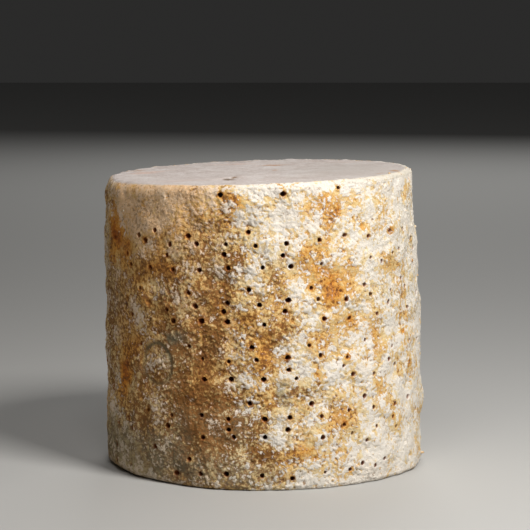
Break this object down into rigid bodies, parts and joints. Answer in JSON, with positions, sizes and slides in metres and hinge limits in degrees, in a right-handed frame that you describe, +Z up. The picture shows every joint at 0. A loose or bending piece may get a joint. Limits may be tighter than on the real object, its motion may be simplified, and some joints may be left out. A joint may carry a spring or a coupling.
{
  "type": "blue cheese wheel",
  "caption": "Whole drum-shaped blue cheese in a dry natural rind, with a needle-pierced side, a drawn plug mark and a nearly flat top.",
  "frame": {"origin": "centre of the foot, on the surface that the cheese stands on", "axes": "+Z up through the drum, -Y towards the side that the picture shows, +X to the right of it"},
  "size_m": [0.2173, 0.2128, 0.2007],
  "materials": {
    "rind": "dry, floury and matt natural rind, cream and ochre with darker needle holes"
  },
  "bodies": {
    "root": {"cheese_wheel": "rind"}
  },
  "joints": []
}
